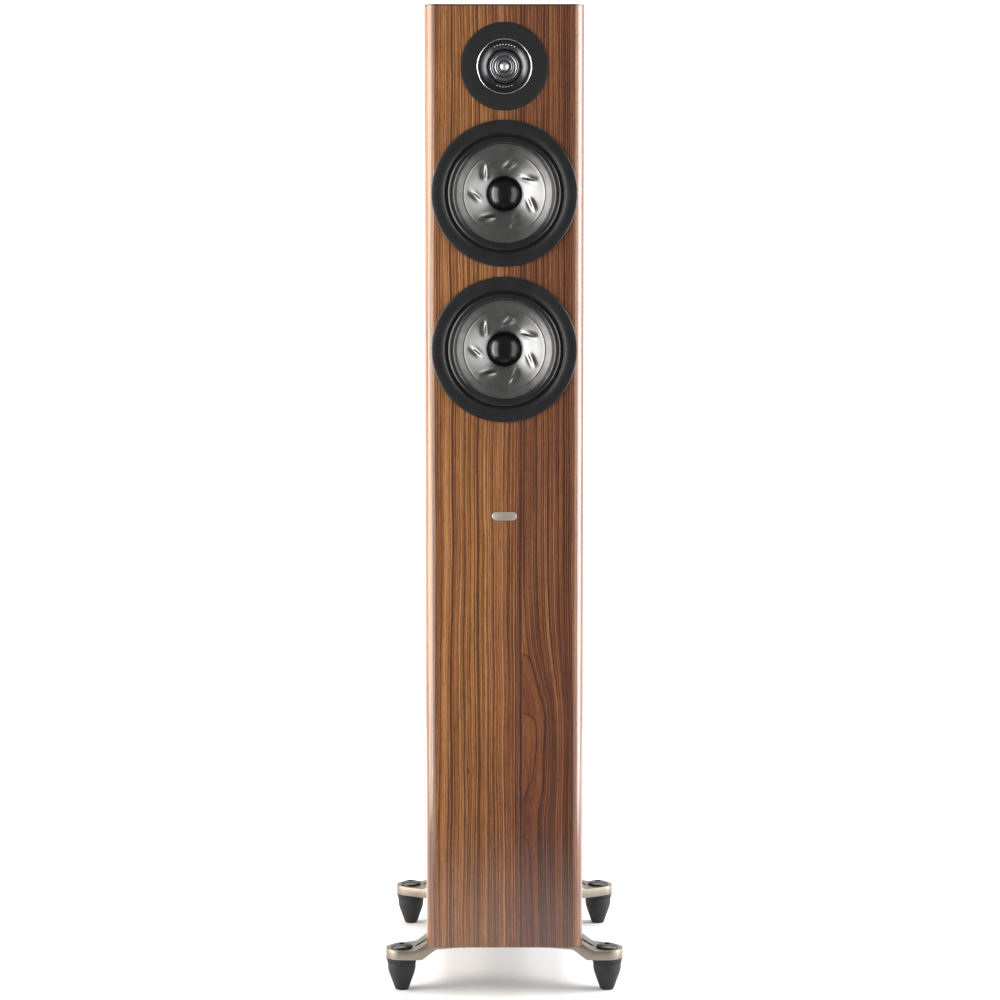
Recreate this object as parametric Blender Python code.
"""Slim floorstanding two-way loudspeaker on four outrigger feet.

Metres, +Z up, the front faces -Y. The origin is at the middle of the bounding box's base, on the floor.
Depths are counted from the baffle's front face, positive into the cabinet, and stand() moves them into place.
"""
import math

import bmesh
import bpy
from mathutils import Matrix, Vector

# ---- driving dimensions -------------------------------------------------------------------------
GAP = 0.0003                    # clearance between neighbouring pieces

CABINET_WIDTH = 0.166
CABINET_DEPTH = 0.335
CABINET_BASE = 0.0535           # the cabinet's underside above the floor
CABINET_TOP = 1.048
PANEL = 0.016                   # side, top, bottom and rear panels
BAFFLE = 0.025
EDGE_RADIUS = 0.014             # the baffle's two upright front edges

UPPER_WOOFER_Z = 0.8525
LOWER_WOOFER_Z = 0.6898
TWEETER_Z = 0.9838
BADGE_Z = 0.515
PORT_Z = 0.400
TERMINAL_Z = 0.190
BRACE_Z = 0.7635                # underside of the brace between the woofers

RING_RADIUS = 0.076             # woofer trim ring
RING_PROUD = 0.0033
RING_SEAT = 0.0022              # depth of the ring's seat in the baffle
FLANGE_RADIUS = 0.072           # woofer basket flange
FLANGE_SEAT = 0.0065
WOOFER_CUTOUT = 0.0625
CONE_RADIUS = 0.051
CONE_NECK = 0.0142
DUST_CAP_RADIUS = 0.0172
ROLL_CENTRE = 0.0559            # middle of the rubber half roll
ROLL_RADIUS = 0.0045

PLATE_RADIUS = 0.0453           # tweeter faceplate
PLATE_PROUD = 0.0012
PLATE_SEAT = 0.0028
TWEETER_CUTOUT = 0.033
ACCENT_RADIUS = 0.0287
THROAT_RADIUS = 0.017
PLUG_RADIUS = 0.0051

PORT_BORE = 0.025
PORT_LENGTH = 0.140
PORT_FLANGE = 0.038
CUP_WIDTH = 0.104
CUP_HEIGHT = 0.084
DISH_WIDTH = 0.084
DISH_HEIGHT = 0.060
CUP_PROUD = 0.0025
DISH_FLOOR = 0.3195             # depth of the recessed floor that carries the binding posts
POST_SPACING = 0.019
POST_RADIUS = 0.0024
KNOB_RADIUS = 0.0073
KNOB_START = 0.3231
KNOB_END = 0.3385

FOOT_X = 0.1105                 # foot centres, left and right of the middle
FRONT_FOOT = 0.032              # foot centres behind the baffle's front face
REAR_FOOT = 0.307
PAD_RADIUS = 0.0168
ARM_LOW = 0.0355
ARM_THICK = 0.010
NECK_OUT = 0.0942               # where the arm's top starts to climb to the cabinet
NECK_IN = 0.0830
ARM_INNER_X = 0.040
ARM_FLARE = math.radians(28)
CAP_RADIUS = 0.0117
SLEEVE_RADIUS = 0.006
STUD_RADIUS = 0.0037

ROUND_STEPS = 20                # facets of the drivers and other large round pieces
SMALL_STEPS = 12                # facets of the feet, studs and posts

FRONT_PROUD = RING_PROUD
MIDDLE_DEPTH = (KNOB_END - FRONT_PROUD) / 2
INNER_X = CABINET_WIDTH / 2 - PANEL
INSIDE_BACK = CABINET_DEPTH - PANEL

for old in list(bpy.data.objects):
    bpy.data.objects.remove(old)


# ---- helpers ------------------------------------------------------------------------------------
def finish(name, colour, roughness, metallic=0.0):
    """A plain material for one sub-part."""
    material = bpy.data.materials.new(name)
    material.use_nodes = True
    shader = material.node_tree.nodes["Principled BSDF"]
    shader.inputs["Base Color"].default_value = (*colour, 1)
    shader.inputs["Roughness"].default_value = roughness
    shader.inputs["Metallic"].default_value = metallic
    return material


def stand(depth):
    """World Y of a depth behind the baffle's front face."""
    return depth - MIDDLE_DEPTH


def place(name, shape, material, at=(0, 0, 0), cutter=False):
    """Make an object from a bmesh and free the bmesh."""
    bmesh.ops.remove_doubles(shape, verts=shape.verts, dist=1e-7)
    bmesh.ops.recalc_face_normals(shape, faces=shape.faces)
    mesh = bpy.data.meshes.new(name)
    shape.to_mesh(mesh)
    shape.free()
    made = bpy.data.objects.new(name, mesh)
    made.location = at
    bpy.context.scene.collection.objects.link(made)
    if cutter:
        made.hide_render = True
        made.display_type = "WIRE"
    else:
        mesh.materials.append(material)
        mesh.shade_smooth()
        mesh.set_sharp_from_angle(angle=math.radians(35))
    return made


def prism(outline, low, high, axis="Z"):
    """A bmesh of a closed outline extruded from low to high along Z or Y."""
    shape = bmesh.new()
    upright = axis == "Z"
    corners = [(a, b, low) if upright else (a, low, b) for a, b in outline]
    face = shape.faces.new([shape.verts.new(corner) for corner in corners])
    way = (0, 0, 1) if upright else (0, 1, 0)
    grown = bmesh.ops.extrude_face_region(shape, geom=[face])["geom"]
    moved = [item for item in grown if isinstance(item, bmesh.types.BMVert)]
    bmesh.ops.translate(shape, verts=moved, vec=Vector(way) * (high - low))
    return shape


def block(low, high):
    """A bmesh box between two corners."""
    shape = bmesh.new()
    bmesh.ops.create_cube(shape, size=1)
    size = [b - a for a, b in zip(low, high)]
    middle = [(a + b) / 2 for a, b in zip(low, high)]
    bmesh.ops.scale(shape, verts=shape.verts, vec=size)
    bmesh.ops.translate(shape, verts=shape.verts, vec=middle)
    return shape


def turned(profile, steps, axis="Y"):
    """A bmesh spun from a closed outline of (radius, along) points about an axis through the origin."""
    shape = bmesh.new()
    if axis == "Y":
        verts = [shape.verts.new((radius, along, 0)) for radius, along in profile]
        way = (0, 1, 0)
    else:
        verts = [shape.verts.new((radius, 0, along)) for radius, along in profile]
        way = (0, 0, 1)
    edges = []
    for first, second in zip(verts, verts[1:] + verts[:1]):
        if first.co.x > 1e-9 or second.co.x > 1e-9:
            edges.append(shape.edges.new((first, second)))
    bmesh.ops.spin(
        shape, geom=verts + edges, cent=(0, 0, 0), axis=way, dvec=(0, 0, 0),
        angle=2 * math.pi, steps=steps, use_merge=True,
    )
    return shape


def arc(centre, radius, start, stop, steps):
    """Points on an arc, angles in degrees."""
    points = []
    for step in range(steps + 1):
        angle = math.radians(start + (stop - start) * step / steps)
        points.append((centre[0] + radius * math.cos(angle), centre[1] + radius * math.sin(angle)))
    return points


def rounded_rectangle(width, height, radius, steps=5):
    """A rounded outline about the origin, anticlockwise."""
    points = []
    for turn, (sx, sy) in enumerate(((1, 1), (-1, 1), (-1, -1), (1, -1))):
        centre = (sx * (width / 2 - radius), sy * (height / 2 - radius))
        points += arc(centre, radius, 90 * turn, 90 * turn + 90, steps)
    return points


def cut(target, *cutters):
    """Cut closed shapes out of a piece."""
    for cutter in cutters:
        modifier = target.modifiers.new("cut", "BOOLEAN")
        modifier.operation = "DIFFERENCE"
        modifier.object = cutter


WOOD = finish("veneered_board", (0.26, 0.12, 0.06), 0.45)
BOARD = finish("bare_board", (0.42, 0.31, 0.20), 0.8)
BLACK = finish("black_plastic", (0.02, 0.02, 0.022), 0.4)
CHARCOAL = finish("charcoal_plate", (0.035, 0.037, 0.04), 0.55)
SILVER = finish("satin_cone", (0.62, 0.62, 0.62), 0.3, 1.0)
RUBBER = finish("rubber", (0.025, 0.025, 0.025), 0.6)
STEEL = finish("steel", (0.5, 0.5, 0.52), 0.4, 1.0)
FERRITE = finish("ferrite", (0.05, 0.05, 0.05), 0.7)
CLOTH = finish("treated_cloth", (0.45, 0.30, 0.12), 0.9)
COPPER = finish("copper_wire", (0.8, 0.4, 0.25), 0.35, 1.0)
PEWTER = finish("pewter_casting", (0.42, 0.39, 0.34), 0.35, 1.0)
GREEN = finish("circuit_board", (0.05, 0.16, 0.07), 0.5)
GOLD = finish("gilt_brass", (0.8, 0.6, 0.25), 0.25, 1.0)
RED = finish("red_plastic", (0.45, 0.02, 0.02), 0.35)


# ---- cabinet ------------------------------------------------------------------------------------
def baffle_outline():
    """The baffle seen from above, with round front corners."""
    half = CABINET_WIDTH / 2
    centre = half - EDGE_RADIUS
    points = arc((-centre, EDGE_RADIUS), EDGE_RADIUS, 180, 270, 6)
    points += arc((centre, EDGE_RADIUS), EDGE_RADIUS, 270, 360, 6)
    points += [(half, BAFFLE), (-half, BAFFLE)]
    return points


def driver_hole(name, z, steps_of_hole):
    """A stepped round cutter: each step is a radius and the depth that it reaches."""
    profile = [(0, -0.01)]
    last = -0.01
    for radius, depth in steps_of_hole:
        profile += [(radius, last), (radius, depth)]
        last = depth
    profile.append((0, last))
    return place(name, turned(profile, ROUND_STEPS), None, (0, stand(0), z), cutter=True)


def cabinet():
    """Seven boards: baffle, sides, top, bottom, back and the window brace."""
    shape = prism(baffle_outline(), CABINET_BASE, CABINET_TOP)
    baffle = place("front_baffle", shape, WOOD, (0, stand(0), 0))
    for name, z in (("upper", UPPER_WOOFER_Z), ("lower", LOWER_WOOFER_Z)):
        steps = (
            (RING_RADIUS + GAP, RING_SEAT + GAP),
            (FLANGE_RADIUS + GAP, FLANGE_SEAT + GAP),
            (WOOFER_CUTOUT, BAFFLE + 0.01),
        )
        cut(baffle, driver_hole(name + "_woofer_hole", z, steps))
    steps = ((PLATE_RADIUS + GAP, PLATE_SEAT), (TWEETER_CUTOUT, BAFFLE + 0.01))
    cut(baffle, driver_hole("tweeter_hole", TWEETER_Z, steps))
    seat = prism(rounded_rectangle(0.0266, 0.0096, 0.0047), -0.01, 0.0012, "Y")
    cut(baffle, place("badge_seat", seat, None, (0, stand(0), BADGE_Z), cutter=True))

    front = stand(BAFFLE + GAP)
    back = stand(CABINET_DEPTH)
    for side, name in ((-1, "left_side_panel"), (1, "right_side_panel")):
        low_x, high_x = sorted((side * INNER_X, side * CABINET_WIDTH / 2))
        place(name, block((low_x, front, CABINET_BASE), (high_x, back, CABINET_TOP)), WOOD)
    half = INNER_X - GAP
    inside = stand(INSIDE_BACK) - GAP
    top = CABINET_TOP - PANEL
    base = CABINET_BASE + PANEL
    place("top_panel", block((-half, front, top), (half, inside, CABINET_TOP)), WOOD)
    place("bottom_panel", block((-half, front, CABINET_BASE), (half, inside, base)), BLACK)
    board = block((-half, stand(INSIDE_BACK), CABINET_BASE), (half, back, CABINET_TOP))
    rear = place("rear_panel", board, WOOD)
    bore_radius = PORT_BORE + 0.004
    bore = turned([(0, 0.25), (bore_radius, 0.25), (bore_radius, 0.34), (0, 0.34)], ROUND_STEPS)
    cut(rear, place("port_hole", bore, None, (0, stand(0), PORT_Z), cutter=True))
    opening = rounded_rectangle(DISH_WIDTH + 0.0066, DISH_HEIGHT + 0.0066, 0.0113)
    recess = prism(opening, 0.25, 0.34, "Y")
    cut(rear, place("cup_hole", recess, None, (0, stand(0), TERMINAL_Z), cutter=True))

    brace = place("window_brace", block((-half, front, BRACE_Z), (half, inside, BRACE_Z + PANEL)), BOARD)
    window = prism(rounded_rectangle(0.094, 0.220, 0.02), -0.01, 0.03)
    middle_y = (front + inside) / 2
    cut(brace, place("brace_window", window, None, (0, middle_y, BRACE_Z), cutter=True))


# ---- woofers ------------------------------------------------------------------------------------
def trim_ring_profile():
    """A dished ring, highest near its outside, with a seat under its inner lip for the surround."""
    crown = arc((RING_RADIUS - 0.0030, -0.0003), 0.0030, 0, -90, 3)
    return [(RING_RADIUS, RING_SEAT)] + crown + [
        (0.0660, -0.0028), (0.0619, -0.0002),
        (0.0619, 0.0010), (0.0658, 0.0010), (0.0658, RING_SEAT),
    ]


def surround_profile():
    """Flat outer land, half roll and flat inner land behind the cone's rim."""
    outer = arc((ROLL_CENTRE, 0.0013), ROLL_RADIUS, 0, -180, 4)
    inner = arc((ROLL_CENTRE, 0.0013), ROLL_RADIUS - 0.0008, -180, 0, 4)
    return [(0.0655, 0.0022), (0.0655, 0.0013)] + outer + [
        (0.0514, 0.0023), (0.0480, 0.0023), (0.0480, 0.0031), (0.0522, 0.0031),
    ] + inner + [(0.0596, 0.0022)]


def cone_profile():
    """A thin dished shell with a flat rim and a short neck."""
    front = [(CONE_RADIUS, 0.0012), (0.0476, 0.0013), (0.0420, 0.0044), (0.0175, 0.0152)]
    back = [(radius, depth + 0.0009) for radius, depth in reversed(front)]
    return front + [(CONE_NECK, 0.0170), (CONE_NECK, 0.0185)] + back


def dust_cap_profile():
    """A shallow dome shell over the cone's neck."""
    rise = 0.0054
    radius = (DUST_CAP_RADIUS ** 2 + rise ** 2) / (2 * rise)
    span = math.degrees(math.asin(DUST_CAP_RADIUS / radius))
    centre = (0, 0.0146 - rise + radius)
    outer = arc(centre, radius, -90 + span, -90, 3)
    inner = arc(centre, radius - 0.0008, -90, -90 + span, 3)
    outer[-1] = (0, outer[-1][1])
    inner[0] = (0, inner[0][1])
    return outer + inner


def spider_profile():
    """A corrugated ring between the coil and the basket's shelf."""
    count = 4
    ridge = []
    for step in range(count + 1):
        radius = 0.0146 + (0.0400 - 0.0146) * step / count
        ridge.append((radius, 0.0304 + 0.0012 * math.sin(math.pi * step / 2)))
    far = [(radius, depth + 0.0006) for radius, depth in reversed(ridge)]
    return ridge + [(0.0438, 0.0304), (0.0438, 0.0311), (0.0402, 0.0311)] + far


def basket_windows(name, z):
    """Six radial cutters joined in one guide object."""
    shape = bmesh.new()
    for step in range(6):
        turn = Matrix.Rotation(math.radians(60 * step + 30), 4, "Y")
        for_one = bmesh.ops.create_cube(shape, size=1)["verts"]
        bmesh.ops.scale(shape, verts=for_one, vec=(0.030, 0.015, 0.030))
        bmesh.ops.translate(shape, verts=for_one, vec=(0.053, 0.0205, 0))
        bmesh.ops.transform(shape, verts=for_one, matrix=turn)
    return place(name, shape, None, (0, stand(0), z), cutter=True)


def woofer(name, z):
    """One mid-bass driver, its pieces centred on the driver's axis."""
    at = (0, stand(0), z)
    place(name + "_trim_ring", turned(trim_ring_profile(), ROUND_STEPS), BLACK, at)
    basket = place(name + "_basket", turned([
        (FLANGE_RADIUS, 0.0025), (FLANGE_RADIUS, FLANGE_SEAT), (0.0612, FLANGE_SEAT), (0.0580, 0.0120),
        (0.0475, 0.0320), (0.0420, 0.0400), (0.0380, 0.0437), (0.0155, 0.0437), (0.0155, 0.0410),
        (0.0360, 0.0410), (0.0400, 0.0375), (0.0400, 0.0314), (0.0445, 0.0314), (0.0550, 0.0115),
        (0.0575, 0.0025),
    ], ROUND_STEPS), BLACK, at)
    cut(basket, basket_windows(name + "_basket_windows", z))
    place(name + "_surround", turned(surround_profile(), ROUND_STEPS), RUBBER, at)
    place(name + "_cone", turned(cone_profile(), ROUND_STEPS), SILVER, at)
    place(name + "_dust_cap", turned(dust_cap_profile(), ROUND_STEPS), BLACK, at)
    coil = [(0.0130, 0.0172), (0.0139, 0.0172), (0.0139, 0.0520), (0.0130, 0.0520)]
    place(name + "_voice_coil", turned(coil, ROUND_STEPS), COPPER, at)
    place(name + "_spider", turned(spider_profile(), ROUND_STEPS), CLOTH, at)
    plate = [(0.0146, 0.0440), (0.0380, 0.0440), (0.0380, 0.0500), (0.0146, 0.0500)]
    place(name + "_top_plate", turned(plate, ROUND_STEPS), STEEL, at)
    magnet = [(0.0190, 0.0503), (0.0400, 0.0503), (0.0400, 0.0640), (0.0190, 0.0640)]
    place(name + "_magnet", turned(magnet, ROUND_STEPS), FERRITE, at)
    yoke = [
        (0.0050, 0.0430), (0.0125, 0.0430), (0.0125, 0.0643),
        (0.0380, 0.0643), (0.0380, 0.0703), (0.0050, 0.0703),
    ]
    place(name + "_yoke", turned(yoke, ROUND_STEPS), STEEL, at)


# ---- tweeter ------------------------------------------------------------------------------------
def tweeter(z):
    """A ring radiator: two small rolls between the outer clamp and the centre plug."""
    at = (0, stand(0), z)
    inner = ACCENT_RADIUS + GAP
    place("tweeter_faceplate", turned([
        (PLATE_RADIUS, PLATE_SEAT - GAP), (PLATE_RADIUS, -0.0006), (PLATE_RADIUS - 0.0008, -PLATE_PROUD),
        (inner, -PLATE_PROUD), (inner, PLATE_SEAT - GAP),
    ], ROUND_STEPS), CHARCOAL, at)
    place("tweeter_accent_ring", turned([
        (ACCENT_RADIUS, 0.0020), (ACCENT_RADIUS, -0.0014), (ACCENT_RADIUS - 0.0005, -0.0017),
        (ACCENT_RADIUS - 0.0011, -0.0012), (ACCENT_RADIUS - 0.0011, 0.0020),
    ], ROUND_STEPS), STEEL, at)
    rim = ACCENT_RADIUS - 0.0011 - GAP
    place("tweeter_waveguide", turned([
        (rim, -0.0009), (rim, 0.0117), (0.0215, 0.0117), (0.0215, 0.0080), (THROAT_RADIUS, 0.0080),
        (THROAT_RADIUS, 0.0052), (0.0178, 0.0040), (0.0196, 0.0026), (0.0228, 0.0006), (0.0258, -0.0009),
    ], ROUND_STEPS), CHARCOAL, at)
    rolls = arc((0.01345, 0.0062), 0.0023, 0, -180, 3) + arc((0.00855, 0.0062), 0.0021, 0, -180, 3)
    back = [(radius, depth + 0.0004) for radius, depth in reversed(rolls)]
    edge = [(0.0162, 0.0066), (0.0162, 0.0062)]
    bore = [(0.0060, 0.0062), (0.0060, 0.0066)]
    place("tweeter_diaphragm", turned(edge + rolls + bore + back, ROUND_STEPS), FERRITE, at)
    place("tweeter_phase_plug", turned([
        (0, 0.0118), (0.0022, 0.0118), (0.0022, 0.0078), (PLUG_RADIUS, 0.0062),
        (PLUG_RADIUS - 0.0006, 0.0036), (0.0030, 0.0022), (0, 0.0014),
    ], SMALL_STEPS), STEEL, at)
    place("tweeter_motor", turned([
        (0.0030, 0.0121), (0.0280, 0.0121), (0.0280, 0.0330), (0.0265, 0.0345), (0.0030, 0.0345),
    ], ROUND_STEPS), BLACK, at)


# ---- rear fittings and crossover ----------------------------------------------------------------
def rear_fittings():
    """Port tube, terminal cup, binding posts, clamp washers and knobs."""
    start = CABINET_DEPTH - PORT_LENGTH
    wall = 0.0025
    mouth = arc((PORT_BORE + 0.009, CABINET_DEPTH - 0.0063), 0.009, 180, 90, 3)
    place("reflex_port_tube", turned([
        (PORT_BORE, start), (PORT_BORE + wall, start), (PORT_BORE + wall, CABINET_DEPTH + GAP),
        (PORT_FLANGE, CABINET_DEPTH + GAP), (PORT_FLANGE, CABINET_DEPTH + 0.0022),
    ] + mouth[::-1], ROUND_STEPS), BLACK, (0, stand(0), PORT_Z))

    at = (0, stand(0), TERMINAL_Z)
    outer = rounded_rectangle(CUP_WIDTH, CUP_HEIGHT, 0.010)
    flange = prism(outer, CABINET_DEPTH + GAP, CABINET_DEPTH + CUP_PROUD, "Y")
    cup = place("terminal_cup", flange, BLACK, at)
    body = rounded_rectangle(DISH_WIDTH + 0.006, DISH_HEIGHT + 0.006, 0.011)
    shell = prism(body, DISH_FLOOR - 0.003, CABINET_DEPTH + 0.0015, "Y")
    joined = cup.modifiers.new("join", "BOOLEAN")
    joined.operation = "UNION"
    joined.object = place("cup_body", shell, None, at, cutter=True)
    hollow = rounded_rectangle(DISH_WIDTH, DISH_HEIGHT, 0.008)
    dish = prism(hollow, DISH_FLOOR, CABINET_DEPTH + 0.01, "Y")
    cut(cup, place("cup_dish", dish, None, at, cutter=True))

    for side, pole, plastic in ((-1, "negative", BLACK), (1, "positive", RED)):
        here = (side * POST_SPACING / 2, stand(0), TERMINAL_Z)
        hole = [(0, 0.30), (POST_RADIUS + GAP, 0.30), (POST_RADIUS + GAP, 0.33), (0, 0.33)]
        cut(cup, place(pole + "_post_hole", turned(hole, SMALL_STEPS), None, here, cutter=True))
        place("binding_post_" + pole, turned([
            (0, 0.3020), (POST_RADIUS, 0.3020), (POST_RADIUS, DISH_FLOOR + GAP), (0.0065, DISH_FLOOR + GAP),
            (0.0065, 0.3213), (POST_RADIUS, 0.3213), (POST_RADIUS, KNOB_END - 0.0012), (0, KNOB_END - 0.0012),
        ], SMALL_STEPS), GOLD, here)
        place("clamp_washer_" + pole, turned([
            (POST_RADIUS + GAP, 0.3216), (0.0063, 0.3216), (0.0063, 0.3228), (POST_RADIUS + GAP, 0.3228),
        ], SMALL_STEPS), GOLD, here)
        place("binding_knob_" + pole, turned([
            (POST_RADIUS + GAP, KNOB_START), (0.0062, KNOB_START), (KNOB_RADIUS, KNOB_START + 0.0015),
            (KNOB_RADIUS, KNOB_END - 0.0010), (KNOB_RADIUS - 0.0010, KNOB_END), (POST_RADIUS + GAP, KNOB_END),
        ], SMALL_STEPS), plastic, here)


def crossover():
    """A small filter board on the cabinet's floor, with its air-cored coil."""
    floor = CABINET_BASE + PANEL + GAP
    middle = stand(0.225)
    board = block((-0.050, middle - 0.055, floor), (0.050, middle + 0.055, floor + 0.0016))
    place("crossover_board", board, GREEN)
    base = floor + 0.0016 + GAP
    winding = [(0.010, base), (0.022, base), (0.022, base + 0.020), (0.010, base + 0.020)]
    place("crossover_inductor", turned(winding, ROUND_STEPS, "Z"), COPPER, (0.020, middle - 0.022, 0))


# ---- outriggers and feet ------------------------------------------------------------------------
def arm_plan(side, foot_depth, way):
    """Plan outline of one arm. way is -1 for a front arm and 1 for a rear one."""
    foot_y = stand(foot_depth)
    edge = foot_y + way * PAD_RADIUS
    run = FOOT_X - NECK_OUT + 0.035
    points = [(ARM_INNER_X, edge)]
    points += [(FOOT_X + x, foot_y + way * y) for x, y in arc((0, 0), PAD_RADIUS, 90, -62, 10)]
    last_x, last_y = points[-1]
    points.append((last_x - run, last_y - way * run * math.tan(ARM_FLARE)))
    points.append((ARM_INNER_X, points[-1][1]))
    return [(side * x, y) for x, y in points]


def arm_side():
    """The arm seen from the front: pad, climbing neck and the plate under the cabinet."""
    high = ARM_LOW + ARM_THICK
    seat = CABINET_BASE - GAP
    return [
        (0.140, ARM_LOW), (0.140, high), (NECK_OUT, high), (NECK_IN + 0.001, seat), (0.030, seat),
        (0.030, 0.0493), (0.0483, 0.0493), (0.0724, 0.0472), (0.0885, ARM_LOW),
    ]


def outrigger(end, hand, side, foot_depth, way):
    """An arm with its rubber foot, the stud moulded in the foot and the adjuster on top."""
    label = end + "_" + hand
    arm = place("outrigger_arm_" + label, prism(arm_plan(side, foot_depth, way), 0.030, 0.060), PEWTER)
    profile = [(side * x, z) for x, z in arm_side()]
    slab = prism(profile, stand(foot_depth) - 0.08, stand(foot_depth) + 0.08, "Y")
    kept = arm.modifiers.new("profile", "BOOLEAN")
    kept.operation = "INTERSECT"
    kept.object = place("arm_profile_" + label, slab, None, cutter=True)
    at = (side * FOOT_X, stand(foot_depth), 0)
    bore = [(0, 0.02), (SLEEVE_RADIUS + GAP, 0.02), (SLEEVE_RADIUS + GAP, 0.06), (0, 0.06)]
    cut(arm, place("sleeve_bore_" + label, turned(bore, SMALL_STEPS, "Z"), None, at, cutter=True))

    top = ARM_LOW - GAP
    pocket = STUD_RADIUS + GAP
    place("rubber_foot_" + label, turned([
        (0, 0), (0.0068, 0), (0.0075, 0.0008), (0.0146, 0.0200), (0.0150, 0.0288),
        (0.0158, 0.0306), (0.0168, 0.0340), (0.0168, top),
        (pocket, top), (pocket, 0.0160), (0, 0.0160),
    ], SMALL_STEPS, "Z"), RUBBER, at)
    place("levelling_stud_" + label, turned([
        (0, 0.0163), (STUD_RADIUS, 0.0163), (STUD_RADIUS, 0.0455), (0, 0.0455),
    ], SMALL_STEPS, "Z"), STEEL, at)
    seat = ARM_LOW + ARM_THICK + GAP
    place("adjuster_" + label, turned([
        (STUD_RADIUS + GAP, ARM_LOW + GAP), (SLEEVE_RADIUS, ARM_LOW + GAP), (SLEEVE_RADIUS, seat),
        (CAP_RADIUS, seat), (CAP_RADIUS, seat + 0.0012), (CAP_RADIUS - 0.0018, seat + 0.0026),
        (0.0060, seat + 0.0034), (0.0040, seat + 0.0035), (0.0036, seat + 0.0018), (0, seat + 0.0018),
        (0, seat + 0.0006), (STUD_RADIUS + GAP, seat + 0.0006),
    ], SMALL_STEPS, "Z"), BLACK, at)


def badge():
    """A small plain plate let into the front."""
    plate = prism(rounded_rectangle(0.026, 0.009, 0.0044), -0.0009, 0.0009, "Y")
    place("front_badge", plate, STEEL, (0, stand(0), BADGE_Z))


cabinet()
woofer("upper_woofer", UPPER_WOOFER_Z)
woofer("lower_woofer", LOWER_WOOFER_Z)
tweeter(TWEETER_Z)
rear_fittings()
crossover()
for end_name, depth, outward in (("front", FRONT_FOOT, -1), ("rear", REAR_FOOT, 1)):
    for hand_name, hand_side in (("left", -1), ("right", 1)):
        outrigger(end_name, hand_name, hand_side, depth, outward)
badge()
